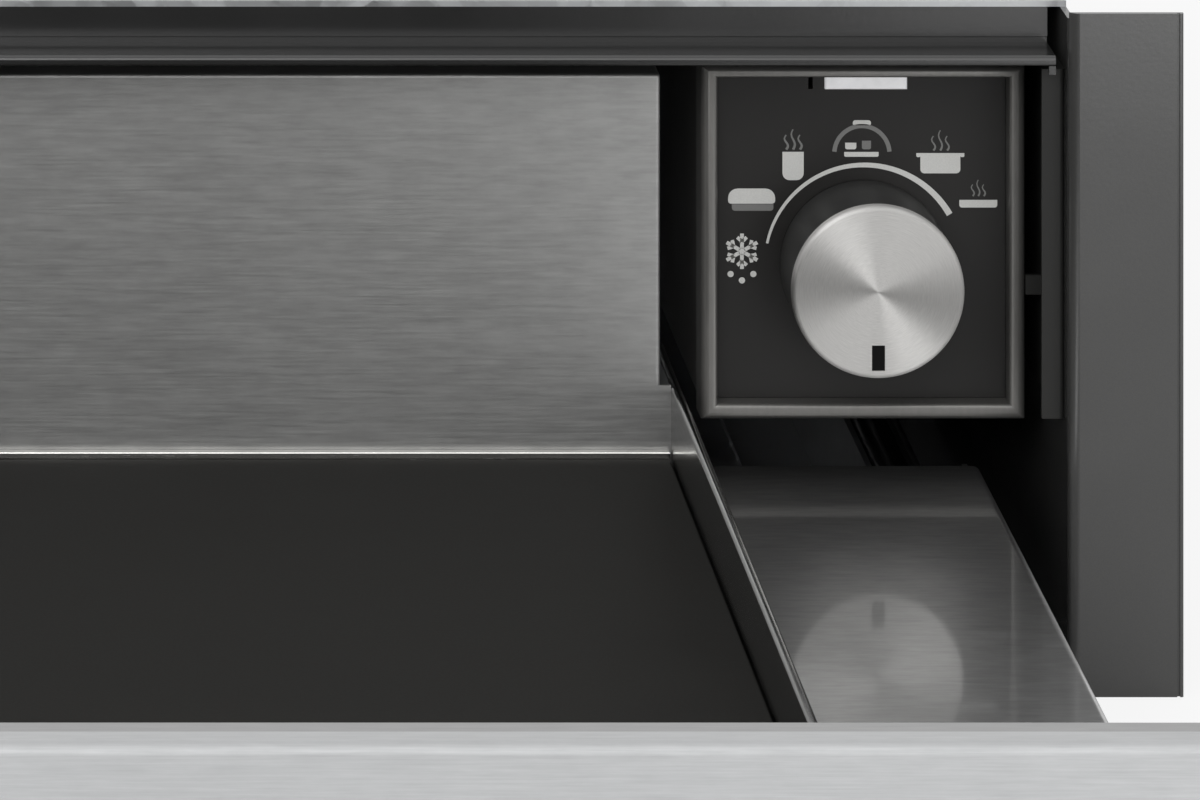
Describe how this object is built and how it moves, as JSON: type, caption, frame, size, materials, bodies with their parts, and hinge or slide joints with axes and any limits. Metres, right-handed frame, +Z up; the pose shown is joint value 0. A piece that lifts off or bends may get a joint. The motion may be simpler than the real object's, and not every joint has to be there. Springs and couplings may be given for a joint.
{
  "type": "built in warming drawer",
  "caption": "Built-in warming drawer with a handle-less steel front, heated glass floor, telescopic ball runners and a small recessed control panel with a rotary knob.",
  "frame": {"origin": "under the middle of the housing's width, in the niche front plane, on the underside of the base plate", "axes": "+X to the right, +Y to the rear of the niche, +Z up"},
  "size_m": [0.5956, 1.0154, 0.14],
  "materials": {
    "housing_paint": "satin",
    "galvanised_steel": "matt galvanised",
    "front_steel": "brushed along the width",
    "drawer_steel": "brushed along the width",
    "wall_steel": "polished",
    "bright_trim": "polished",
    "dark_glass": "satin black",
    "runner_steel": "zinc plated",
    "screw_steel": "zinc plated",
    "bezel_metal": "satin grey",
    "panel_black": "satin black",
    "moulded_black": "fine grain",
    "moulded_grey": "fine grain",
    "lens_white": "milky",
    "board_green": "solder resist",
    "knob_aluminium": "spun",
    "insulation_white": "fibre board",
    "silicone_red": "matt silicone",
    "buffer_rubber": "soft",
    "front_foam": "fibre board"
  },
  "bodies": {
    "housing": {"base_plate": "galvanised_steel", "side_panel_left": "housing_paint", "side_panel_right": "housing_paint", "top_cover": "galvanised_steel", "top_rail": "housing_paint", "rear_panel": "galvanised_steel", "housing_screws": "screw_steel", "runner_brackets": "galvanised_steel", "side_rivets": "screw_steel", "runner_outer_left": "runner_steel", "runner_outer_right": "runner_steel", "control_bezel": "bezel_metal", "control_panel": "panel_black", "control_housing": "moulded_black", "control_hanger": "galvanised_steel", "control_bracket": "housing_paint", "control_board": "board_green", "indicator_lens": "lens_white", "indicator_lamp": "moulded_grey", "rotary_switch": "moulded_black", "switch_nut": "screw_steel", "terminal_block": "moulded_grey", "terminal_cover": "moulded_black", "cable_gland": "moulded_black", "gland_locknut": "moulded_black", "latch_bracket": "galvanised_steel", "latch_body": "moulded_grey"},
    "drawer": {"front_panel": "front_steel", "front_core": "front_foam", "front_liner": "drawer_steel", "front_bumpers": "buffer_rubber", "front_bracket_left": "galvanised_steel", "front_bracket_right": "galvanised_steel", "front_screws": "screw_steel", "carrier_left": "drawer_steel", "side_tray": "drawer_steel", "floor_plate": "galvanised_steel", "glass_plate": "dark_glass", "glass_trim": "bright_trim", "side_wall_left": "wall_steel", "side_wall_right": "wall_steel", "rear_wall": "drawer_steel", "heating_mat": "silicone_red", "heater_insulation": "insulation_white", "heater_cover": "galvanised_steel", "temperature_limiter": "moulded_black", "runner_inner_left": "runner_steel", "runner_inner_right": "runner_steel", "skirt_rivets": "screw_steel"},
    "middle_left": {"runner_middle_left": "runner_steel"},
    "middle_right": {"runner_middle_right": "runner_steel"},
    "outer_cage_left": {"ball_cage_outer_left": "bright_trim"},
    "outer_cage_right": {"ball_cage_outer_right": "bright_trim"},
    "inner_cage_left": {"ball_cage_inner_left": "bright_trim"},
    "inner_cage_right": {"ball_cage_inner_right": "bright_trim"},
    "knob": {"knob": "knob_aluminium", "knob_core": "moulded_black", "knob_marker": "panel_black", "switch_shaft": "screw_steel"},
    "latch": {"latch_plunger": "moulded_grey"}
  },
  "joints": [
    {"name": "drawer_slide", "type": "slide", "parent": "housing", "child": "drawer", "axis": [0, -1, 0], "range_m": [-0.438, 0]},
    {"name": "middle_left_slide", "type": "slide", "parent": "housing", "child": "middle_left", "axis": [0, -1, 0], "range_m": [-0.219, 0]},
    {"name": "middle_right_slide", "type": "slide", "parent": "housing", "child": "middle_right", "axis": [0, -1, 0], "range_m": [-0.219, 0]},
    {"name": "outer_cage_left_slide", "type": "slide", "parent": "housing", "child": "outer_cage_left", "axis": [0, -1, 0], "range_m": [-0.1095, 0]},
    {"name": "outer_cage_right_slide", "type": "slide", "parent": "housing", "child": "outer_cage_right", "axis": [0, -1, 0], "range_m": [-0.1095, 0]},
    {"name": "inner_cage_left_slide", "type": "slide", "parent": "housing", "child": "inner_cage_left", "axis": [0, -1, 0], "range_m": [-0.3285, 0]},
    {"name": "inner_cage_right_slide", "type": "slide", "parent": "housing", "child": "inner_cage_right", "axis": [0, -1, 0], "range_m": [-0.3285, 0]},
    {"name": "knob_turn", "type": "hinge", "parent": "housing", "child": "knob", "pos_m": [0.2391, 0.0047, 0.0771], "axis": [0, 1, 0], "range_deg": [0, 240]},
    {"name": "latch_push", "type": "slide", "parent": "housing", "child": "latch", "axis": [0, 1, 0], "range_m": [0, 0.005], "stiffness_N_per_m": 300}
  ],
  "couplings": [
    {"joint": "middle_left_slide", "follows": "drawer_slide", "ratio": 0.5},
    {"joint": "middle_right_slide", "follows": "drawer_slide", "ratio": 0.5},
    {"joint": "outer_cage_left_slide", "follows": "drawer_slide", "ratio": 0.25},
    {"joint": "outer_cage_right_slide", "follows": "drawer_slide", "ratio": 0.25},
    {"joint": "inner_cage_left_slide", "follows": "drawer_slide", "ratio": 0.75},
    {"joint": "inner_cage_right_slide", "follows": "drawer_slide", "ratio": 0.75}
  ]
}
